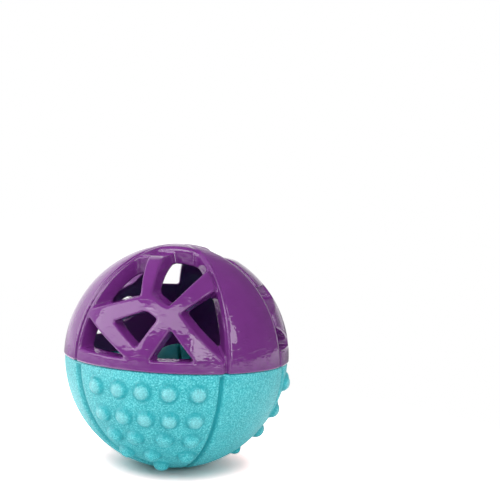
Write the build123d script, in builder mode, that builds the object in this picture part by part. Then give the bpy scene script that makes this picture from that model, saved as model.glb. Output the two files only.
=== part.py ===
# Treat dispensing ball, in millimetres, +Z up.
# A glossy lattice dome is cemented onto a nubbed foam bowl. A slit domed post stands inside.
# The origin is the point on which the ball rests, and the middle of one lattice gore faces -Y.
import os
from math import cos, radians, sin, sqrt, tan

from build123d import *

os.makedirs("parts", exist_ok=True)

# Driving dimensions
ball_diameter = 90.0
dome_wall = 6.0
bowl_wall = 7.0
lip_wall = 2.5
lip_height = 4.0
cement_gap = 0.1
overrun = 2.0

# Gores: lattice gores and plain gores alternate round the axis, parted by grooves
gore_count = 3
lattice_gore_angle = 80.0
front_angle = -90.0
groove_width = 1.4
groove_depth = 1.2
groove_pole_angle = 16.0

# Windows of one lattice gore
window_draft_angle = 5.0
window_corner_radius = 1.2
window_rim = 0.8

# Nubs of one lower gore
nub_radius = 3.2
nub_height = 2.3

# Post
post_diameter = 21.6
post_rise = 4.4
spigot_diameter = 12.0
spigot_length = 5.0
boss_diameter = 28.0
boss_rise = 4.0
slit_width = 1.2
slit_depth = 9.0
slit_turn_angle = 24.0

# Sizes that follow from the driving dimensions
ball_radius = ball_diameter / 2
dome_inner_radius = ball_radius - dome_wall
bowl_inner_radius = ball_radius - bowl_wall
lip_radius = dome_inner_radius + lip_wall
rebate_depth = lip_height + cement_gap
half_gore_angle = lattice_gore_angle / 2
floor_height = bowl_wall + boss_rise
post_radius = post_diameter / 2
post_top = ball_radius + post_rise
boss_radius = boss_diameter / 2

# Window outlines seen square on, as shares of the ball's radius: across, and up from its centre.
# After each outline come the depths of its own plane and of the window's inner end, as such shares too.
# An outline that runs past the side of its gore is trimmed there.
# These are the same in each gore. The last one is no window: it steps the wall down behind the top end
# of the upright strut.
window_shares = [
    ([(-0.295, 0.372), (-0.015, 0.482), (0.094, 0.42), (-0.055, 0.19)], 0.92, 0.39),
    ([(0.078, 0.095), (0.428, 0.095), (0.21, 0.345)], 0.93, 0.39),
    ([(0.275, 0.47), (0.70, 0.90), (0.70, 0.044)], 0.75, 0.39),
    ([(0.018, 0.613), (-0.085, 1.10), (0.632, 1.10), (0.155, 0.54)], 0.62, 0.23),
    ([(-0.70, 0.91), (0.10, 0.91), (0.10, 1.10), (-0.70, 1.10)], 0.36, 0.23),
]

# The two windows along the left of each gore: the front gore, the right rear gore and the left rear gore.
# Before them is the rim between the groove and the windows. Without a rim they open through the groove.
left_window_shares = [
    (
        window_rim,
        [
            ([(-0.70, 0.406), (-0.115, 0.597), (-0.19, 1.10), (-0.70, 1.10)], 0.62, 0.39),
            ([(-0.70, 0.48), (-0.70, 0.105), (-0.17, 0.105)], 0.85, 0.39),
        ],
    ),
    (
        -groove_width,
        [
            ([(-0.75, 0.41), (-0.24, 0.585), (-0.24, 0.675), (-0.75, 0.675)], 0.66, 0.36),
            ([(-0.75, 0.427), (-0.75, 0.127), (-0.223, 0.153)], 0.85, 0.39),
        ],
    ),
    (
        -groove_width,
        [
            ([(-0.70, 0.575), (-0.115, 0.60), (-0.19, 1.10), (-0.70, 1.10)], 0.62, 0.20),
            ([(-0.75, 0.105), (-0.345, 0.105), (-0.59, 0.46), (-0.75, 0.46)], 0.87, 0.39),
        ],
    ),
]

# Nub rows: latitude below the seam as a share of a right angle, then azimuths as shares of half a gore
nub_row_shares = [
    (0.105, [-0.60, -0.27, 0.03, 0.35, 0.69]),
    (0.258, [-0.56, -0.24, 0.06, 0.37, 0.69]),
    (0.395, [-0.49, -0.14, 0.30, 0.69]),
    (0.540, [-0.46, 0.06, 0.68]),
    (0.680, [0.16]),
]


def gore_side_plane(side, offset):
    """The upright plane along one side of the front lattice gore, moved by offset towards the right."""
    azimuth = radians(side * half_gore_angle)
    across = Vector(cos(azimuth), sin(azimuth), 0)
    return Plane(origin=across * offset, x_dir=(sin(azimuth), -cos(azimuth), 0), z_dir=across)


def nub_plane(latitude_share, azimuth_share):
    """A plane through the centre of a nub's sphere, facing straight out of the ball."""
    latitude = radians(90 * latitude_share)
    azimuth = radians(front_angle + half_gore_angle * azimuth_share)
    outward = Vector(cos(latitude) * cos(azimuth), cos(latitude) * sin(azimuth), -sin(latitude))
    reach = ball_radius + nub_height - nub_radius
    return Plane(origin=outward * reach + Vector(0, 0, ball_radius), z_dir=outward)


# Cutter for one groove: a sector of a ring in an upright plane, from near one pole to near the other
with BuildPart() as groove_cutter:
    with BuildSketch(Plane.XZ) as groove_sector:
        with BuildLine():
            sweep = 180 - 2 * groove_pole_angle
            first = groove_pole_angle - 90
            outer = CenterArc((0, ball_radius), ball_radius + overrun, first, sweep)
            inner = CenterArc((0, ball_radius), ball_radius - groove_depth, first, sweep)
            Line(outer @ 0, inner @ 0)
            Line(outer @ 1, inner @ 1)
        make_face()
    extrude(amount=groove_width / 2, both=True)

# Cutters for the windows of each gore, placed at the front: drafted along Y, and trimmed at the gore's sides
window_cutters = []
cutter_origin = (0, -ball_radius - overrun, ball_radius)
cutter_plane = Plane(origin=cutter_origin, x_dir=(-1, 0, 0), z_dir=(0, 1, 0))
for left_rim, left_windows in left_window_shares:
    with BuildPart() as window_cutter:
        for outline_shares, plane_share, end_share in left_windows + window_shares:
            stand_off = (1 - plane_share) * ball_radius + overrun
            growth = stand_off * tan(radians(window_draft_angle))
            corners = [(-across * ball_radius, up * ball_radius) for across, up in outline_shares]
            with BuildSketch(cutter_plane) as window_outline:
                with BuildLine():
                    Polyline(*corners, close=True)
                make_face()
                offset(amount=growth, kind=Kind.INTERSECTION)
                fillet(window_outline.vertices(), radius=window_corner_radius + growth)
            extrude(amount=(1 - end_share) * ball_radius + overrun, taper=window_draft_angle)
        split(bisect_by=gore_side_plane(-1, groove_width / 2 + left_rim), keep=Keep.TOP)
        split(bisect_by=gore_side_plane(1, groove_width / 2), keep=Keep.BOTTOM)
    window_cutters.append(window_cutter.part)

# Upper shell: the lattice dome, with a lip that drops into the bowl
with BuildPart() as upper_shell:
    with BuildSketch(Plane.XZ) as dome_profile:
        with BuildLine():
            outside = CenterArc((0, ball_radius), ball_radius, 0, 90)
            inside = CenterArc((0, ball_radius), dome_inner_radius, 0, 90)
            Line(outside @ 1, inside @ 1)
            Polyline(
                inside @ 0,
                (dome_inner_radius, ball_radius - lip_height),
                (lip_radius, ball_radius - lip_height),
                (lip_radius, ball_radius),
                outside @ 0,
            )
        make_face()
    revolve(axis=Axis.Z)
    for index, cutter in enumerate(window_cutters):
        add(cutter.rotate(Axis.Z, index * 360 / gore_count), mode=Mode.SUBTRACT)
    for side in (-1, 1):
        with PolarLocations(0, gore_count, start_angle=front_angle + side * half_gore_angle):
            add(groove_cutter.part, mode=Mode.SUBTRACT)
upper_shell.part.label = "upper_shell"
export_step(upper_shell.part, "parts/upper_shell.step")

# Lower shell: the foam bowl, with a rebate for the lip, a boss for the post, and nubs on three gores
with BuildPart() as lower_shell:
    with BuildSketch(Plane.XZ) as bowl_profile:
        with BuildLine():
            rebate_floor = ball_radius - rebate_depth
            rebate_edge = sqrt(bowl_inner_radius**2 - rebate_depth**2)
            boss_foot = ball_radius - sqrt(bowl_inner_radius**2 - boss_radius**2)
            outside = CenterArc((0, ball_radius), ball_radius, -90, 90)
            Polyline(
                outside @ 1,
                (lip_radius + cement_gap, ball_radius),
                (lip_radius + cement_gap, rebate_floor),
                (rebate_edge, rebate_floor),
            )
            RadiusArc((rebate_edge, rebate_floor), (boss_radius, boss_foot), bowl_inner_radius)
            Polyline((boss_radius, boss_foot), (boss_radius, floor_height), (0, floor_height), outside @ 0)
        make_face()
    revolve(axis=Axis.Z)
    with Locations((0, 0, floor_height)):
        Hole(radius=spigot_diameter / 2 + cement_gap, depth=spigot_length + cement_gap)
    for side in (-1, 1):
        with PolarLocations(0, gore_count, start_angle=front_angle + side * half_gore_angle):
            add(groove_cutter.part, mode=Mode.SUBTRACT)
    nub_planes = [nub_plane(row, place) for row, places in nub_row_shares for place in places]
    with PolarLocations(0, gore_count):
        with Locations(*nub_planes):
            Sphere(radius=nub_radius)
lower_shell.part.label = "lower_shell"
export_step(lower_shell.part, "parts/lower_shell.step")

# Treat post: a domed post on the axis, slit at the top, with a spigot in the bowl's boss
with BuildPart() as treat_post:
    with BuildSketch(Plane.XZ) as post_profile:
        with BuildLine():
            crown = CenterArc((0, post_top - post_radius), post_radius, 0, 90)
            Polyline(
                crown @ 0,
                (post_radius, floor_height),
                (spigot_diameter / 2, floor_height),
                (spigot_diameter / 2, floor_height - spigot_length),
                (0, floor_height - spigot_length),
                crown @ 1,
            )
        make_face()
    revolve(axis=Axis.Z)
    with BuildSketch(Plane.XY.offset(post_top)) as slit_outline:
        with PolarLocations(0, gore_count, start_angle=front_angle + slit_turn_angle):
            Rectangle(post_radius + overrun, slit_width, align=(Align.MIN, Align.CENTER))
    extrude(amount=-slit_depth, mode=Mode.SUBTRACT)
treat_post.part.label = "treat_post"
export_step(treat_post.part, "parts/treat_post.step")
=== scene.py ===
# Treat dispensing ball: a glossy lattice dome on a nubbed foam bowl, with a slit post inside.
# Shapes are worked out in millimetres about the ball's centre, and stand in the frame in metres.
from math import cos, hypot, pi, radians, sin, sqrt, tan

import bpy
import numpy as np
from mathutils import Matrix, Vector


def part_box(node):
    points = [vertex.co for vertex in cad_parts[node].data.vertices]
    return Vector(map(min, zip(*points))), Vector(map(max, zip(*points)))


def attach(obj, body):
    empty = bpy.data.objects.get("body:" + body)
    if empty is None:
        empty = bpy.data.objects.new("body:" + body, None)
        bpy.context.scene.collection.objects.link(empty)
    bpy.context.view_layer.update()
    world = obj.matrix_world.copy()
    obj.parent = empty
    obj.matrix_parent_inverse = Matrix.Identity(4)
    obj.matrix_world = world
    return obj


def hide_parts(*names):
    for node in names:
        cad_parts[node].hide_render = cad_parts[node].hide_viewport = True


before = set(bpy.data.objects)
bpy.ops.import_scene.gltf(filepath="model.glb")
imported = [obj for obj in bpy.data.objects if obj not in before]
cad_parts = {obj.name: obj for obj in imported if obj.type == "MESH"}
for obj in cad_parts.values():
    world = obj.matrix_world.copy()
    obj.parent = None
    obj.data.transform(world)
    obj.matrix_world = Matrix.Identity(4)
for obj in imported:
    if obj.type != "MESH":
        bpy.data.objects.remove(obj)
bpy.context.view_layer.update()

MM = 0.001

# Ball and post, from the frame
dome_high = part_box("upper_shell")[1]
post_low, post_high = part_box("treat_post")
ball_radius = dome_high.z / 2 / MM
ball_centre = Vector((0, 0, ball_radius * MM))

# Walls, in millimetres
dome_wall = 6.0
bowl_wall = 7.0
lip_wall = 2.5
lip_height = 4.0
cement_gap = 0.1
dome_inner_radius = ball_radius - dome_wall
bowl_inner_radius = ball_radius - bowl_wall
lip_radius = dome_inner_radius + lip_wall

# Gores: lattice gores and plain gores alternate round the axis
gore_count = 3
gore_turn = 2 * pi / gore_count
half_gore = radians(40)
groove_pole_angle = radians(16)

# Windows of a lattice gore: outline as shares of the ball's radius, across and up from its centre,
# then the depths of the outline's own plane and of the window's inner end, as such shares too.
# These are the same in each gore. The last one is the step behind the top end of the upright strut.
window_draft = radians(5)
window_rim = 1.5
window_open_side = 0.6
window_corner_round = 1.3
window_shares = [
    ([(-0.295, 0.372), (-0.015, 0.482), (0.094, 0.42), (-0.055, 0.19)], 0.92, 0.39),
    ([(0.078, 0.095), (0.428, 0.095), (0.21, 0.345)], 0.93, 0.39),
    ([(0.275, 0.47), (0.70, 0.90), (0.70, 0.044)], 0.75, 0.39),
    ([(0.018, 0.613), (-0.085, 1.10), (0.632, 1.10), (0.155, 0.54)], 0.62, 0.23),
    ([(-0.70, 0.91), (0.10, 0.91), (0.10, 1.10), (-0.70, 1.10)], 0.36, 0.23),
]

# The two windows along the left of each gore, in the order front, right rear, left rear.
# Before them is the distance from the gore's side at which they end.
left_window_shares = [
    (
        window_rim,
        [
            ([(-0.70, 0.406), (-0.115, 0.597), (-0.19, 1.10), (-0.70, 1.10)], 0.62, 0.39),
            ([(-0.70, 0.48), (-0.70, 0.105), (-0.17, 0.105)], 0.85, 0.39),
        ],
    ),
    (
        -window_open_side,
        [
            ([(-0.75, 0.41), (-0.28, 0.575), (-0.28, 0.675), (-0.75, 0.675)], 0.66, 0.36),
            ([(-0.75, 0.427), (-0.75, 0.127), (-0.30, 0.148), (-0.30, 0.195)], 0.85, 0.39),
        ],
    ),
    (
        -window_open_side,
        [
            ([(-0.70, 0.575), (-0.115, 0.60), (-0.19, 1.10), (-0.70, 1.10)], 0.62, 0.20),
            ([(-0.75, 0.105), (-0.345, 0.105), (-0.59, 0.46), (-0.75, 0.46)], 0.87, 0.39),
        ],
    ),
]

# Nubs: a crease goes round the foot of each, with painted shade in it, and the low ones have less of the
# pale top of wear and painted sheen, which is painted shade towards the bottom
nub_radius = 3.6
nub_height = 2.4
nub_foot_round = 0.3
nub_foot_slope = 2.0
nub_crease_shade_reach = 0.65
nub_crease_shade_share = 0.65
low_nub_start_share = 0.3
low_nub_end_share = 0.75
low_nub_fade_share = 0.6

# Nub rows of the front gore: latitude below the seam as a share of a right angle,
# then azimuths as shares of half a gore
nub_row_shares = [
    (0.105, [-0.60, -0.27, 0.03, 0.35, 0.69]),
    (0.258, [-0.56, -0.24, 0.06, 0.37, 0.69]),
    (0.395, [-0.49, -0.14, 0.30, 0.69]),
    (0.540, [-0.46, 0.06, 0.68]),
    (0.680, [0.16]),
]

# Dome finish
dome_groove_width = 1.0
dome_groove_depth = 1.2
dome_groove_offset = 0.6
dome_edge_round = 0.9
dome_pole_round = 2.0
dome_pole_start_share = 0.84
dome_pole_end_share = 0.95
dome_overhang = 0.5
dome_radius = ball_radius + dome_overhang
dome_rim_round = 0.5
dome_step = 0.62

# Bowl finish
bowl_left_groove_reach = 1.3
bowl_right_groove_reach = 0.85
bowl_groove_depth = 1.8
bowl_groove_inset = 0.7
bowl_side_lean_share = 0.11
bowl_tip_turn = 6.0
bowl_tip_start_share = 0.69
bowl_tip_end_share = 0.89
bowl_tip_round = 2.0
bowl_rim_round = 0.8
bowl_rim_rows = 5
bowl_outside_rows = 134
bowl_inside_rows = 22
bowl_columns = 560

# The right rear petal is turned further back than the others, and its nub rows are spread further down
right_rear_gore = 1
right_rear_turn = radians(5)
right_rear_spread = 1.13

# Post
post_radius = post_high.x / MM
post_top = post_high.z / MM - ball_radius
post_foot = post_low.z / MM - ball_radius
spigot_radius = 6.0
spigot_length = 5.0
boss_radius = 14.0
boss_chamfer = 0.4
boss_top = post_foot + spigot_length
spigot_overlap = 1.0
slit_width = 1.2
slit_depth = 9.0
slit_turn = radians(24)
slit_lip_round = 0.9
post_step = 0.4

# Grids, in fine steps: a step of the coarse grid that looks for the surface first, how near the surface
# the fine grid is worked out, and how far both go past it
coarse_steps = 4
near_steps = 2 * coarse_steps
margin_steps = 2

# Points of a grid: how they are moved onto the surface, and in how many rounds they are evened out
slope_reach_share = 1 / 16
least_slope_squared = 0.25
surface_rounds = 3
even_rounds = 3

# Purple gloss rubber: colours, roughness, and grain sizes and bump depths in millimetres.
# A span is where a noise, which runs from 0 to 1, starts and ends its effect.
purple_dark = (0.15, 0.022, 0.19)
purple_light = (0.174, 0.028, 0.218)
purple_roughness = (0.03, 0.09)
purple_ior = 1.65
purple_cloud_grain = 14
cloud_span = (0.3, 0.7)
smudge_grain = 5
smudge_span = (0.35, 0.7)
wave_grain = 9
wave_depth = 0.06
ripple_grain = 2.6
ripple_depth = 0.1
scuff_grain = 1.2
scuff_stretch = 4.5
scuff_span = (0.56, 0.72)
scuff_depth = 0.05

# Bead lines along the dome's grooves: the distances past a gore's side between which they lie,
# then places as shares of the way between those, each with its height
bead_span = (-2, 4)
bead_line_shares = [(0.19, 1), (0.235, 0), (0.28, 1), (0.62, 1), (0.70, 0.2), (0.78, 1)]
bead_depth = 0.2

# Turquoise foam rubber. Its worn colour is partly wear and partly painted sheen on the nubs' tops, and its
# crease colour is painted shade in the grooves and round the nubs' feet
foam_deep = (0.004, 0.37, 0.43)
foam_light = (0.010, 0.46, 0.52)
foam_speckle = (0.165, 0.76, 0.81)
foam_worn_and_sheen = (0.38, 0.79, 0.83)
foam_crease_shade = (0.0, 0.38, 0.44)
foam_roughness = 0.5
foam_ior = 1.5
foam_specular = 0.6
foam_cloud_grain = 7
foam_cloud_span = (0.3, 0.72)
speckle_grain = 0.55
speckle_span = (0.43, 0.64)
speckle_most = 0.9
worn_and_sheen_span = (0.42, 0.85)
worn_and_sheen_most = 0.37
crease_shade_span = (0.05, 0.75)
cell_grain = 0.9
cell_depth = 0.3
dent_grain = 5
dent_depth = 0.12

# Teal rubber
teal_dark = (0.0, 0.16, 0.19)
teal_light = (0.005, 0.23, 0.27)
teal_roughness = (0.35, 0.5)
teal_cloud_grain = 6
teal_smudge_grain = 2
teal_skin_grain = 1.2
teal_skin_depth = 0.03

# Camera, in pixels of the photograph's frame and in shares of the ball's radius
frame_pixels = 500
ball_pixel = (177.5, 354.7)
ball_radius_pixels = 111.3
camera_distance_share = 8.12
camera_azimuth = radians(17.05)
camera_elevation = radians(8.9)
camera_roll = radians(2.66)
sensor_width = 36
clip_start = 0.01

# Lamps: distances from the ball in metres, then for each lamp its azimuth and elevation and its width and
# height in degrees, seen from the ball, its brightness in gloss and in matte shading, and what it lights
gloss_distance = 0.9
matte_distance = 0.95
smooth_pieces = ("lattice_dome", "slit_post")
foam_pieces = ("nubbed_bowl",)
everything = ()
lamps = [
    ("key", (4, 44), (44, 27), 2.6, 0, smooth_pieces),
    ("left", (-50, 30), (60, 40), 2.5, 0, smooth_pieces),
    ("right", (46, 18), (30, 24), 3.8, 0, smooth_pieces),
    ("strip", (75.5, 31), (9, 26), 3.4, 0, smooth_pieces),
    ("dome_fill", (-80, 24), (60, 50), 0, 3.1, smooth_pieces),
    ("foam_left", (-60, 8), (90, 20), 5.5, 1.3, foam_pieces),
    ("foam_behind", (-128, 8), (50, 40), 1.0, 0, foam_pieces),
    ("foam_right", (106, 4), (50, 40), 2.6, 0, foam_pieces),
    ("key_fill", (4, 44), (44, 27), 0, 2.65, everything),
    ("left_fill", (-50, 30), (60, 40), 0, 0.45, everything),
    ("right_fill", (46, 18), (30, 24), 0, 3.8, everything),
    ("top_fill", (40, 70), (50, 50), 0, 1.2, everything),
    ("rim_fill", (-125, 20), (40, 50), 0, 1.2, everything),
]

# Room: brightness where it only lights, and in gloss from dim to bright along a direction
room_fill = 0.18
room_dim = 0.17
room_bright = 1.1
room_bright_way = (-0.6, 0.65, -0.45)
room_bright_span = (0.2, 0.7)

# Floor: spans in metres from the point under the ball or along one direction, tones, and brightness in gloss
floor_reach = 6.0
shadow_span = (0.004, 0.036)
shadow_tone = (0.22, 0.58, 0.57)
clear_gain = (3.9, 1.95, 1.85)
plain_span = (0.03, 0.08)
near_span = (0.1, 0.3)
left_span = (0.0, 0.08)
sides_span = (0.05, 0.6)
floor_dim = 0.25
floor_near = 1.6
floor_near_left = 3.2
floor_sides = 1.2


def smooth_max(a, b, width):
    """The larger of a and b, rounded over where they differ by less than width."""
    overlap = np.maximum(width - np.abs(a - b), 0) / width
    return np.maximum(a, b) + overlap**2 * (width / 4)


def smooth_step(value, start, end):
    """0 before start, 1 after end, and an even S between them."""
    share = np.clip((value - start) / (end - start), 0, 1)
    return share * share * (3 - 2 * share)


def gore_of(x, y):
    """Number of the third of a turn that each point is in, counted from the front round by the right."""
    return np.mod(np.rint(np.arctan2(x, -y) / gore_turn), gore_count)


def fold_to_front(x, y):
    """Turns each point about the axis by whole thirds of a turn, into the third that faces the front."""
    azimuth = np.arctan2(x, -y) - gore_of(x, y) * gore_turn
    reach = np.hypot(x, y)
    return reach * np.sin(azimuth), -reach * np.cos(azimuth)


def past_gore_side(x, y):
    """Distance of folded points past the nearer side plane of the front gore, less than zero inside it."""
    return np.abs(x) * cos(half_gore) + y * sin(half_gore)


def window_distance(window, left_end, x, y, z):
    """Signed distance to a window: the largest of its outline's half planes, which lean in with depth,
    of its inner end and of its ends at the two sides of the gore, rounded over where they meet."""
    outline_shares, plane_share, end_share = window
    corners = np.array(outline_shares) * ball_radius
    following = np.roll(corners, -1, axis=0)
    turn = np.sign(np.sum(corners[:, 0] * following[:, 1] - following[:, 0] * corners[:, 1]))
    lean = (y + plane_share * ball_radius) * sin(window_draft)
    distance = y + end_share * ball_radius
    for (x0, z0), (x1, z1) in zip(corners, following):
        length = turn * hypot(x1 - x0, z1 - z0)
        half_plane = ((x - x0) * (z1 - z0) - (z - z0) * (x1 - x0)) / length
        distance = smooth_max(distance, half_plane * cos(window_draft) + lean, window_corner_round)
    left_side = left_end - (x * cos(half_gore) - y * sin(half_gore))
    right_side = x * cos(half_gore) + y * sin(half_gore) - window_open_side
    return smooth_max(smooth_max(distance, left_side, window_corner_round), right_side, window_corner_round)


def dome_distance(x, y, z):
    """Signed distance to the dome: a half shell with a lip below its rim, less a groove along each side
    of a lattice gore and less the windows, with edges rounded more towards the pole."""
    reach = np.hypot(x, y)
    radius = np.hypot(reach, z)
    shell = smooth_max(radius - dome_radius, dome_inner_radius - radius, dome_rim_round)
    shell = smooth_max(shell, -z, dome_rim_round)
    lip = np.maximum(np.abs(reach - lip_radius + lip_wall / 2) - lip_wall / 2, np.abs(z) - lip_height)
    solid = np.minimum(shell, lip)
    front_x, front_y = fold_to_front(x, y)
    groove = np.abs(past_gore_side(front_x, front_y) - dome_groove_offset) - dome_groove_width / 2
    fade = smooth_step(z / ball_radius, cos(2 * groove_pole_angle), cos(groove_pole_angle))
    groove = smooth_max(groove, dome_radius - dome_groove_depth * (1 - fade) - radius, dome_edge_round)
    solid = smooth_max(solid, -groove, dome_edge_round)
    pole_share = smooth_step(z / ball_radius, dome_pole_start_share, dome_pole_end_share)
    edge_round = dome_edge_round + (dome_pole_round - dome_edge_round) * pole_share
    gore = gore_of(x, y)
    holes = np.zeros(np.shape(x))
    for index, (left_end, left_windows) in enumerate(left_window_shares):
        own = gore == index
        place = front_x[own], front_y[own], z[own]
        windows = left_windows + window_shares
        holes[own] = np.min([window_distance(window, left_end, *place) for window in windows], axis=0)
    return smooth_max(solid, -holes, edge_round)


def post_distance(x, y, z):
    """Signed distance to the post: a column with a round crown and a spigot, less a three-way slit."""
    reach = np.hypot(x, y)
    crown = post_top - post_radius
    column = np.where(z > crown, np.hypot(reach, z - crown), reach) - post_radius
    column = smooth_max(column, boss_top - z, dome_rim_round)
    spigot = np.maximum(reach - spigot_radius, np.maximum(post_foot - z, z - boss_top - spigot_overlap))
    turned_x = x * cos(slit_turn) + y * sin(slit_turn)
    turned_y = y * cos(slit_turn) - x * sin(slit_turn)
    slit_x = fold_to_front(turned_x, turned_y)[0]
    slit = np.maximum(np.abs(slit_x) - slit_width / 2, post_top - slit_depth - z)
    return np.minimum(smooth_max(column, -slit, slit_lip_round), spigot)


def skin_of(distance, low, high, step):
    """Points, quads and normals of the surface where a signed distance is zero. Each grid cell that the
    surface crosses holds one point, the mean of the crossings on its edges. Each grid edge that it crosses
    is a quad of the four cells round it. Points are then evened out and moved onto the surface.
    A coarse grid finds first where the surface is near, so that the fine one is worked out only there."""
    margin = margin_steps * step
    axes = [np.arange(a - margin, b + margin + step, step) for a, b in zip(low, high)]
    value = distance(*np.meshgrid(*[axis[::coarse_steps] for axis in axes], indexing="ij"))
    for i, axis in enumerate(axes):
        value = np.repeat(value, coarse_steps, axis=i).take(range(len(axis)), axis=i)
    near = np.argwhere(np.abs(value) < near_steps * step)
    value[tuple(near.T)] = distance(*[axis[index] for axis, index in zip(axes, near.T)])
    inside = value < 0
    count = np.zeros([n - 1 for n in value.shape], dtype=np.int8)
    corners = [np.array((i, j, k)) for i in (0, 1) for j in (0, 1) for k in (0, 1)]
    for i, j, k in corners:
        count += inside[i : i + count.shape[0], j : j + count.shape[1], k : k + count.shape[2]]
    crossed = (count > 0) & (count < 8)
    number = np.full(count.shape, -1)
    number[crossed] = np.arange(crossed.sum())
    cells = np.argwhere(crossed)
    total = np.zeros(cells.shape)
    hits = np.zeros((len(cells), 1))
    quads = []
    for axis in range(3):
        along = np.eye(3, dtype=int)[axis]
        side_a, side_b = np.eye(3, dtype=int)[(axis + 1) % 3], np.eye(3, dtype=int)[(axis + 2) % 3]
        for corner in corners:
            if corner[axis]:
                continue
            start = cells + corner
            first, second = value[tuple(start.T)], value[tuple((start + along).T)]
            hit = ((first < 0) != (second < 0))[:, None]
            share = (first / np.where(first == second, 1, first - second))[:, None]
            total += np.where(hit, start + share * along, 0)
            hits += hit
        last = np.array(inside.shape) - along
        lower = inside[: last[0], : last[1], : last[2]]
        upper = inside[along[0] :, along[1] :, along[2] :]
        edges = np.argwhere(lower != upper)
        ring = [edges - side_a - side_b, edges - side_b, edges, edges - side_a]
        quad = np.stack([number[tuple(cell.T)] for cell in ring], axis=1)
        leaves = lower[tuple(edges.T)]
        quads.append(np.where(leaves[:, None], quad, quad[:, ::-1]))
    quads = np.concatenate(quads)
    points = np.array([axis[0] for axis in axes]) + step * total / hits

    def slope(p):
        reach = slope_reach_share * step
        moves = reach * np.eye(3)
        return np.stack([distance(*(p + m).T) - distance(*(p - m).T) for m in moves], axis=1) / (2 * reach)

    def onto_surface(p):
        for _ in range(surface_rounds):
            gradient = slope(p)
            miss = distance(*p.T) / np.maximum(np.sum(gradient**2, axis=1), least_slope_squared)
            p = p - np.clip(miss, -step / 2, step / 2)[:, None] * gradient
        return p

    starts, ends = quads.ravel(), np.roll(quads, -1, axis=1).ravel()
    degree = np.bincount(starts, minlength=len(points)) + np.bincount(ends, minlength=len(points))
    points = onto_surface(points)
    for _ in range(even_rounds):
        after = [np.bincount(starts, points[ends, i], len(points)) for i in range(3)]
        before = [np.bincount(ends, points[starts, i], len(points)) for i in range(3)]
        mean = np.add(after, before).T / degree[:, None]
        points = onto_surface(points + (mean - points) / 2)
    gradient = slope(points)
    return points, quads, gradient / np.linalg.norm(gradient, axis=1, keepdims=True)


def bowl_section():
    """The bowl's section as rows of reach and height: from the lowest point up the outside, over the rim,
    down the rebate and the inner wall, over the boss and down the post's socket to the axis.
    Also how many of the rows lie on the outside."""
    lean = np.linspace(0, pi / 2, bowl_outside_rows)
    outside = np.stack([ball_radius * np.sin(lean), -ball_radius * np.cos(lean)], axis=1)
    outside = outside[outside[:, 1] < -bowl_rim_round]
    roll = np.linspace(0, pi / 2, bowl_rim_rows)
    rim_reach = ball_radius - bowl_rim_round
    rim = np.stack([rim_reach + bowl_rim_round * np.cos(roll), bowl_rim_round * (np.sin(roll) - 1)], axis=1)
    rebate_reach = lip_radius + cement_gap
    rebate_floor = -lip_height - cement_gap
    rebate = [(rebate_reach, 0), (rebate_reach, rebate_floor / 2), (rebate_reach, rebate_floor)]
    start = np.arcsin(-rebate_floor / bowl_inner_radius)
    dip = np.linspace(start, np.arccos(boss_radius / bowl_inner_radius), bowl_inside_rows)
    inside = np.stack([bowl_inner_radius * np.cos(dip), -bowl_inner_radius * np.sin(dip)], axis=1)
    socket_reach = spigot_radius + cement_gap
    boss = [(boss_radius, boss_top - boss_chamfer), (boss_radius - boss_chamfer, boss_top)]
    socket_floor = post_foot - cement_gap
    socket = [(socket_reach, boss_top), (socket_reach, socket_floor), (0, socket_floor)]
    return np.concatenate([outside, rim, rebate, inside, boss, socket]), len(outside)


def bowl_rise(direction):
    """Height of the bowl's outside over the ball along each direction, and how much of it is nub or crease.
    A nub is a ball sunk into the wall with a soft foot, and a groove is a bell curve along a petal's edge.
    A petal's right side is straight, and its left side leans in on the way down and turns in at the tip.
    Grooves and the nubs' feet are creases, which carry painted shade. The nub share is the pale top of wear
    and painted sheen, less on low nubs as painted shade towards the bottom."""
    x, y = fold_to_front(direction[:, 0], direction[:, 1])
    z = direction[:, 2]
    right_rear = gore_of(direction[:, 0], direction[:, 1]) == right_rear_gore
    spread = np.where(right_rear, right_rear_spread, 1)
    turn = np.where(right_rear, right_rear_turn, 0)
    nubs = np.zeros(len(z))
    foot_shade = np.zeros(len(z))
    foot_radius = sqrt(nub_height * (2 * nub_radius - nub_height))
    for latitude_share, azimuth_shares in nub_row_shares:
        latitude = pi / 2 * latitude_share * spread
        for azimuth_share in azimuth_shares:
            azimuth = half_gore * azimuth_share
            outward = np.cos(latitude) * (x * sin(azimuth) - y * cos(azimuth))
            along = np.clip(outward - z * np.sin(latitude), -1, 1)
            away = ball_radius * np.arccos(along)
            cap = np.sqrt(np.maximum(nub_radius**2 - away**2, 0))
            cap -= nub_foot_slope * np.maximum(away - nub_radius, 0)
            nubs = smooth_max(nubs, cap + nub_height - nub_radius, nub_foot_round)
            # Painted shade: a ring in the crease round each nub's foot
            foot = np.exp(-(((away - foot_radius) / nub_crease_shade_reach) ** 2))
            foot_shade = np.maximum(foot_shade, nub_crease_shade_share * foot)
    tip = smooth_step(-z, bowl_tip_start_share, bowl_tip_end_share)
    lean = bowl_tip_turn * tip - bowl_side_lean_share * ball_radius * z
    x, y = x * np.cos(turn) + y * np.sin(turn), y * np.cos(turn) - x * np.sin(turn)
    right_side = ball_radius * (x * cos(half_gore) + y * sin(half_gore))
    left_side = ball_radius * (y * sin(half_gore) - x * cos(half_gore)) + lean
    aside = smooth_max(right_side, left_side, bowl_tip_round) + bowl_groove_inset
    on_left = smooth_step(left_side - right_side, -bowl_tip_round, bowl_tip_round)
    groove_reach = bowl_right_groove_reach + (bowl_left_groove_reach - bowl_right_groove_reach) * on_left
    groove = np.exp(-((aside / groove_reach) ** 2))
    groove *= 1 - smooth_step(-z, cos(groove_pole_angle), 1)
    # Painted shade towards the bottom: low nubs keep less of their pale top
    fade = low_nub_fade_share * smooth_step(-z, low_nub_start_share, low_nub_end_share)
    tops = np.clip(nubs / nub_height, 0, 1) * (1 - fade)
    return nubs - bowl_groove_depth * groove, tops, np.maximum(groove, foot_shade)


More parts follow.
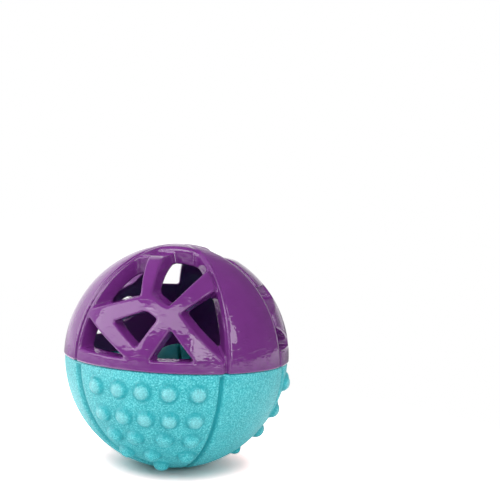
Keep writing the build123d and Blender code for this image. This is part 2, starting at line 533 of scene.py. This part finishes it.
def bowl_skin():
    """Points and faces of the bowl: its section turned about the axis, with the outside raised along its
    own direction by the nubs and lowered by the grooves. Each point also keeps its nub and crease shares,
    which place the pale tops of wear and painted sheen and the painted crease shade."""
    section, outside_count = bowl_section()
    azimuth = np.linspace(0, 2 * pi, bowl_columns, endpoint=False)
    rows = section[1:-1]
    reach, height = rows[:, :1], rows[:, 1:]
    x, y = reach * np.cos(azimuth), reach * np.sin(azimuth)
    points = np.stack([x, y, np.broadcast_to(height, x.shape)], axis=2).reshape(-1, 3)
    points = np.concatenate([points, [[0, 0, section[0, 1]], [0, 0, section[-1, 1]]]])
    bottom, socket = len(points) - 2, len(points) - 1
    skin = np.arange(len(points)) < (outside_count - 1) * bowl_columns
    skin[bottom] = True
    direction = points[skin] / np.linalg.norm(points[skin], axis=1, keepdims=True)
    rise, nub, crease = bowl_rise(direction)
    points[skin] += direction * rise[:, None]
    shares = np.zeros((len(points), 2))
    shares[skin] = np.stack([nub, crease], axis=1)
    column = np.arange(bowl_columns)
    after = np.roll(column, -1)
    row = np.arange(len(rows) - 1)[:, None] * bowl_columns
    above = row + bowl_columns
    quads = np.stack([row + column, row + after, above + after, above + column], axis=2)
    last = (len(rows) - 1) * bowl_columns
    fans = np.concatenate(
        [
            np.stack([np.full(bowl_columns, bottom), after, column], axis=1),
            np.stack([np.full(bowl_columns, socket), last + column, last + after], axis=1),
        ]
    )
    return points, quads.reshape(-1, 4), fans, shares


def make_piece(name, points, face_sets, material, node, normals=None):
    """A mesh object in the frame from points in millimetres about the ball's centre. It rides on the root
    body, stands for a CAD node, which it hides, and takes the finish that it is given."""
    loops = np.concatenate([faces.ravel() for faces in face_sets])
    sizes = np.concatenate([np.full(len(faces), faces.shape[1]) for faces in face_sets])
    mesh = bpy.data.meshes.new(name)
    mesh.vertices.add(len(points))
    mesh.vertices.foreach_set("co", (points * MM + np.array(ball_centre)).ravel())
    mesh.loops.add(len(loops))
    mesh.loops.foreach_set("vertex_index", loops)
    mesh.polygons.add(len(sizes))
    mesh.polygons.foreach_set("loop_start", np.concatenate([[0], np.cumsum(sizes)[:-1]]))
    mesh.polygons.foreach_set("use_smooth", np.ones(len(sizes), dtype=bool))
    mesh.update(calc_edges=True)
    if normals is not None:
        mesh.normals_split_custom_set_from_vertices(normals)
    mesh.materials.append(material)
    piece = bpy.data.objects.new(name, mesh)
    bpy.context.scene.collection.objects.link(piece)
    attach(piece, "root")
    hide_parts(node)
    return piece


class Finish:
    """A material with one Principled shader, and short ways to add the nodes that drive it."""

    def __init__(self, name):
        self.material = bpy.data.materials.new(name)
        self.material.use_nodes = True
        self.tree = self.material.node_tree
        self.shader = self.tree.nodes["Principled BSDF"]
        self.place = self.tree.nodes.new("ShaderNodeTexCoord").outputs["Object"]

    def set(self, **values):
        """Fixed values of the shader's sockets, with _ for a space in a name."""
        for socket, value in values.items():
            self.shader.inputs[socket.replace("_", " ")].default_value = value

    def join(self, source, target):
        self.tree.links.new(source, target)

    def noise(self, grain, detail=3.0, roughness=0.55, flat=1.0):
        """Noise whose features are about grain millimetres high, and flat times as wide."""
        node = self.tree.nodes.new("ShaderNodeTexNoise")
        node.inputs["Scale"].default_value = 1 / (grain * MM)
        node.inputs["Detail"].default_value = detail
        node.inputs["Roughness"].default_value = roughness
        squeezed = self.tree.nodes.new("ShaderNodeVectorMath")
        squeezed.operation = "MULTIPLY"
        squeezed.inputs[1].default_value = (1 / flat, 1 / flat, 1)
        self.join(self.place, squeezed.inputs[0])
        self.join(squeezed.outputs[0], node.inputs["Vector"])
        return node.outputs["Fac"]

    def ramp(self, source, *stops):
        """A colour ramp with stops of place and colour."""
        node = self.tree.nodes.new("ShaderNodeValToRGB")
        elements = node.color_ramp.elements
        while len(elements) < len(stops):
            elements.new(0.5)
        for element, (place, colour) in zip(elements, stops):
            element.position = place
            element.color = (*colour, 1)
        self.join(source, node.inputs["Fac"])
        return node.outputs["Color"]

    def spread(self, source, low, high, to_low, to_high):
        """Maps low to high onto to_low to to_high, held at the ends."""
        node = self.tree.nodes.new("ShaderNodeMapRange")
        values = {"From Min": low, "From Max": high, "To Min": to_low, "To Max": to_high}
        for socket, value in values.items():
            node.inputs[socket].default_value = value
        self.join(source, node.inputs["Value"])
        return node.outputs["Result"]

    def mix(self, share, first, second):
        """A colour source that goes over to a second, fixed colour by a share."""
        node = self.tree.nodes.new("ShaderNodeMix")
        node.data_type = "RGBA"
        factor, a, b = [socket for socket in node.inputs if socket.enabled]
        self.join(share, factor)
        self.join(first, a)
        b.default_value = (*second, 1)
        return [socket for socket in node.outputs if socket.enabled][0]

    def attribute(self, name):
        """A number that each point of the piece keeps."""
        node = self.tree.nodes.new("ShaderNodeAttribute")
        node.attribute_name = name
        return node.outputs["Fac"]

    def bump(self, height, depth, before=None):
        """A bump of depth millimetres from a height, laid over an earlier bump."""
        node = self.tree.nodes.new("ShaderNodeBump")
        node.inputs["Distance"].default_value = depth * MM
        self.join(height, node.inputs["Height"])
        if before:
            self.join(before, node.inputs["Normal"])
        return node.outputs["Normal"]


def purple_gloss_rubber():
    """Glossy moulded rubber: purple with faint clouding, a skin that waves a little, smudges, level scuffs,
    and a fine line along each edge of the grooves."""
    finish = Finish("purple_gloss_rubber")
    cloud = finish.noise(purple_cloud_grain, detail=2)
    colour = finish.ramp(cloud, *zip(cloud_span, (purple_dark, purple_light)))
    finish.join(colour, finish.shader.inputs["Base Color"])
    smudge = finish.noise(smudge_grain, detail=6, roughness=0.65)
    finish.join(finish.spread(smudge, *smudge_span, *purple_roughness), finish.shader.inputs["Roughness"])
    wave = finish.bump(finish.noise(wave_grain, detail=1), wave_depth)
    ripple = finish.bump(finish.noise(ripple_grain, detail=1), ripple_depth, wave)
    scuff = finish.spread(finish.noise(scuff_grain, detail=2, flat=scuff_stretch), *scuff_span, 0, 1)
    scuffed = finish.bump(scuff, scuff_depth, ripple)
    beside = finish.spread(finish.attribute("side"), *bead_span, 0, 1)
    beading = finish.ramp(beside, *[(place, (level,) * 3) for place, level in bead_line_shares])
    finish.join(finish.bump(beading, bead_depth, scuffed), finish.shader.inputs["Normal"])
    finish.set(IOR=purple_ior)
    return finish.material


def turquoise_foam_rubber():
    """Matte foamed rubber: turquoise with a fine pale speckle, paler on the nubs' tops from wear and painted
    sheen, and deeper in creases from painted shade.
    """
    finish = Finish("turquoise_foam_rubber")
    cloud = finish.noise(foam_cloud_grain, detail=4)
    colour = finish.ramp(cloud, *zip(foam_cloud_span, (foam_deep, foam_light)))
    grain = finish.noise(speckle_grain, detail=2, roughness=0.6)
    colour = finish.mix(finish.spread(grain, *speckle_span, 0, speckle_most), colour, foam_speckle)
    # Pale nub tops: partly wear, partly painted sheen
    worn_and_sheen = finish.spread(finish.attribute("nub"), *worn_and_sheen_span, 0, worn_and_sheen_most)
    colour = finish.mix(worn_and_sheen, colour, foam_worn_and_sheen)
    # Painted shade in the grooves and round the nubs' feet
    crease = finish.spread(finish.attribute("crease"), *crease_shade_span, 0, 1)
    colour = finish.mix(crease, colour, foam_crease_shade)
    finish.join(colour, finish.shader.inputs["Base Color"])
    cells = finish.bump(finish.noise(cell_grain, detail=2, roughness=0.6), cell_depth)
    dented = finish.bump(finish.noise(dent_grain, detail=2), dent_depth, cells)
    finish.join(dented, finish.shader.inputs["Normal"])
    finish.set(Roughness=foam_roughness, IOR=foam_ior, Specular_IOR_Level=foam_specular)
    return finish.material


def teal_rubber():
    """Smooth satin rubber: dark teal with faint clouding."""
    finish = Finish("teal_rubber")
    colour = finish.ramp(finish.noise(teal_cloud_grain), *zip(cloud_span, (teal_dark, teal_light)))
    finish.join(colour, finish.shader.inputs["Base Color"])
    smudge = finish.noise(teal_smudge_grain)
    finish.join(finish.spread(smudge, *cloud_span, *teal_roughness), finish.shader.inputs["Roughness"])
    finish.join(finish.bump(finish.noise(teal_skin_grain), teal_skin_depth), finish.shader.inputs["Normal"])
    return finish.material


def make_dome():
    """The lattice dome, from its signed distance. Each point keeps how far past its gore's side it is.
    Those round the pole, where the grooves end, count as far past it."""
    low = (-ball_radius, -ball_radius, -lip_height)
    points, quads, normals = skin_of(dome_distance, low, (ball_radius,) * 3, dome_step)
    material = purple_gloss_rubber()
    piece = make_piece(
        "lattice_dome", points, [quads], material, "upper_shell", normals
    )
    side = past_gore_side(*fold_to_front(points[:, 0], points[:, 1]))
    side[points[:, 2] > ball_radius * cos(groove_pole_angle)] = 2 * ball_radius
    piece.data.attributes.new("side", "FLOAT", "POINT").data.foreach_set("value", side)


def make_bowl():
    """The nubbed bowl, as a turned section with a raised outside."""
    points, quads, fans, shares = bowl_skin()
    material = turquoise_foam_rubber()
    piece = make_piece(
        "nubbed_bowl", points, [quads, fans], material, "lower_shell"
    )
    for name, values in zip(("nub", "crease"), shares.T):
        piece.data.attributes.new(name, "FLOAT", "POINT").data.foreach_set("value", values)


def make_post():
    """The slit post, from its signed distance."""
    low = (-post_radius, -post_radius, post_foot)
    high = (post_radius, post_radius, post_top)
    points, quads, normals = skin_of(post_distance, low, high, post_step)
    make_piece("slit_post", points, [quads], teal_rubber(), "treat_post", normals)


def towards(azimuth, elevation):
    """Unit vector from the ball at an azimuth from the front towards +X, and an elevation."""
    return Vector((sin(azimuth) * cos(elevation), -cos(azimuth) * cos(elevation), sin(elevation)))


def place_camera():
    """A camera that sees the ball at its pixel and at its size. It looks past the ball by the pixel's
    offset from the frame's middle, and its focal length takes back the stretch that this gives."""
    back = towards(camera_azimuth, camera_elevation)
    right = Vector((cos(camera_azimuth), sin(camera_azimuth), 0))
    up = back.cross(right)
    rolled_right = right * cos(camera_roll) + up * sin(camera_roll)
    rolled_up = up * cos(camera_roll) - right * sin(camera_roll)
    at_ball = Matrix((rolled_right, rolled_up, back)).transposed()
    focal = ball_radius_pixels * sqrt(camera_distance_share**2 - 1)
    across, above = ball_pixel[0] - frame_pixels / 2, frame_pixels / 2 - ball_pixel[1]
    stretch = sqrt(1 + (across**2 + above**2) / focal**2)
    focal /= stretch**1.5
    aside = Vector((across, above, -focal)).rotation_difference(Vector((0, 0, -1))).to_matrix()
    camera = bpy.data.objects.new("camera", bpy.data.cameras.new("camera"))
    distance = camera_distance_share * ball_radius * MM
    camera.matrix_world = Matrix.Translation(ball_centre + back * distance) @ (at_ball @ aside).to_4x4()
    camera.data.sensor_width = sensor_width
    camera.data.lens = focal / frame_pixels * sensor_width
    camera.data.clip_start = clip_start
    bpy.context.scene.collection.objects.link(camera)
    bpy.context.scene.camera = camera


def softbox(name, place, size, gloss, matte, only):
    """A soft lamp that faces the ball. Its brightness in reflections and in matte shading are set apart,
    so it is up to two lamps. It lights only the pieces that are named, or everything where none are.
    A lamp's power is its brightness times its area times pi."""
    out = towards(*np.radians(place))
    turn = out.to_track_quat("Z", "Y").to_matrix().to_4x4()
    for kind, radiance, distance in (("gloss", gloss, gloss_distance), ("matte", matte, matte_distance)):
        if not radiance:
            continue
        lamp = bpy.data.lights.new(f"{name}_{kind}", "AREA")
        lamp.shape = "RECTANGLE"
        lamp.size, lamp.size_y = [2 * distance * tan(radians(angle / 2)) for angle in size]
        lamp.energy = radiance * pi * lamp.size * lamp.size_y
        holder = bpy.data.objects.new(lamp.name, lamp)
        holder.visible_glossy = kind == "gloss"
        holder.visible_diffuse = kind == "matte"
        if only:
            lit = bpy.data.collections.new(lamp.name)
            for piece in only:
                lit.objects.link(bpy.data.objects[piece])
            holder.light_linking.receiver_collection = lit
        holder.matrix_world = Matrix.Translation(ball_centre + out * distance) @ turn
        bpy.context.scene.collection.objects.link(holder)


def node_of(tree, kind, *values, operation=None):
    """A node whose first inputs take the values, which are numbers or other nodes' outputs."""
    node = tree.nodes.new(kind)
    if operation:
        node.operation = operation
    for socket, value in zip(node.inputs, values):
        if isinstance(value, bpy.types.NodeSocket):
            tree.links.new(value, socket)
        else:
            socket.default_value = value
    return node.outputs[0]


def brightness_along(tree, place, direction, start, end, at_start, at_end):
    """Brightness that runs from at_start to at_end as a place goes from start to end along a direction."""
    product = node_of(tree, "ShaderNodeVectorMath", place, direction, operation="DOT_PRODUCT")
    along = product.node.outputs["Value"]
    return node_of(tree, "ShaderNodeMapRange", along, start, end, at_start, at_end)


def light_studio():
    """A room and softboxes. The room is white to the camera, bright low down at the left and behind and
    dim elsewhere to gloss, and an even fill where it only lights."""
    world = bpy.data.worlds.new("studio")
    world.use_nodes = True
    bpy.context.scene.world = world
    tree = world.node_tree
    path = tree.nodes.new("ShaderNodeLightPath")
    place = tree.nodes.new("ShaderNodeTexCoord").outputs["Generated"]
    in_gloss = brightness_along(tree, place, room_bright_way, *room_bright_span, room_dim, room_bright)
    strength = node_of(tree, "ShaderNodeMix", path.outputs["Is Glossy Ray"])
    strength.node.inputs["A"].default_value = room_fill
    tree.links.new(in_gloss, strength.node.inputs["B"])
    shown = node_of(tree, "ShaderNodeMath", path.outputs["Is Camera Ray"], strength, operation="MAXIMUM")
    tree.links.new(shown, tree.nodes["Background"].inputs["Strength"])
    tree.nodes["Background"].inputs["Color"].default_value = (1, 1, 1, 1)
    for lamp in lamps:
        softbox(*lamp)


def make_floor():
    """A wide matte white floor under the ball, shown overexposed to the camera. Close under the ball its
    colour to the camera is painted darker and cyan, which deepens its real shadow as painted shadow. Away
    from the ball it is plain white to the camera.
    To gloss it is bright near the ball, most at its left, and far out at both sides, and dim elsewhere."""
    mesh = bpy.data.meshes.new("floor")
    corners = [(-1, -1), (1, -1), (1, 1), (-1, 1)]
    mesh.from_pydata([(x * floor_reach, y * floor_reach, 0) for x, y in corners], [], [(0, 1, 2, 3)])
    floor = bpy.data.objects.new("floor", mesh)
    bpy.context.scene.collection.objects.link(floor)
    material = bpy.data.materials.new("white_floor")
    material.use_nodes = True
    tree = material.node_tree
    matte = tree.nodes["Principled BSDF"]
    matte.inputs["Roughness"].default_value = 1
    matte.inputs["Specular IOR Level"].default_value = 0
    path = tree.nodes.new("ShaderNodeLightPath")
    seen = path.outputs["Is Camera Ray"]
    place = tree.nodes.new("ShaderNodeTexCoord").outputs["Object"]
    away = node_of(tree, "ShaderNodeVectorMath", place, operation="LENGTH").node.outputs["Value"]
    # Painted shadow: to the camera the floor's colour is darker and cyan close under the ball
    clear = node_of(tree, "ShaderNodeMapRange", away, *shadow_span, 0, 1)
    tone = node_of(tree, "ShaderNodeVectorMath", clear, clear_gain, shadow_tone, operation="MULTIPLY_ADD")
    white = node_of(tree, "ShaderNodeMixRGB", seen, (1, 1, 1, 1), tone)
    tree.links.new(white, matte.inputs["Base Color"])
    far = node_of(tree, "ShaderNodeMapRange", away, *plain_span, 0, 1)
    aside = node_of(tree, "ShaderNodeVectorMath", place, operation="ABSOLUTE")
    sides = brightness_along(tree, aside, (1, 0, 0), *sides_span, floor_dim, floor_sides)
    front = node_of(tree, "ShaderNodeMapRange", away, *near_span, floor_near, floor_dim)
    peak = node_of(tree, "ShaderNodeMapRange", away, *near_span, floor_near_left, floor_dim)
    near = brightness_along(tree, place, (-1, 0, 0), *left_span, front, peak)
    in_gloss = node_of(tree, "ShaderNodeMath", near, sides, operation="MAXIMUM")
    shown = node_of(tree, "ShaderNodeMath", seen, in_gloss, operation="MAXIMUM")
    plain = node_of(tree, "ShaderNodeEmission", (1, 1, 1, 1), shown)
    either = node_of(tree, "ShaderNodeMath", seen, path.outputs["Is Glossy Ray"], operation="MAXIMUM")
    share = node_of(tree, "ShaderNodeMath", far, either, operation="MULTIPLY")
    blend = node_of(tree, "ShaderNodeMixShader", share, matte.outputs[0], plain)
    tree.links.new(blend, tree.nodes["Material Output"].inputs["Surface"])
    mesh.materials.append(material)


make_dome()
make_bowl()
make_post()
place_camera()
light_studio()
make_floor()
bpy.context.scene.view_settings.view_transform = "Standard"
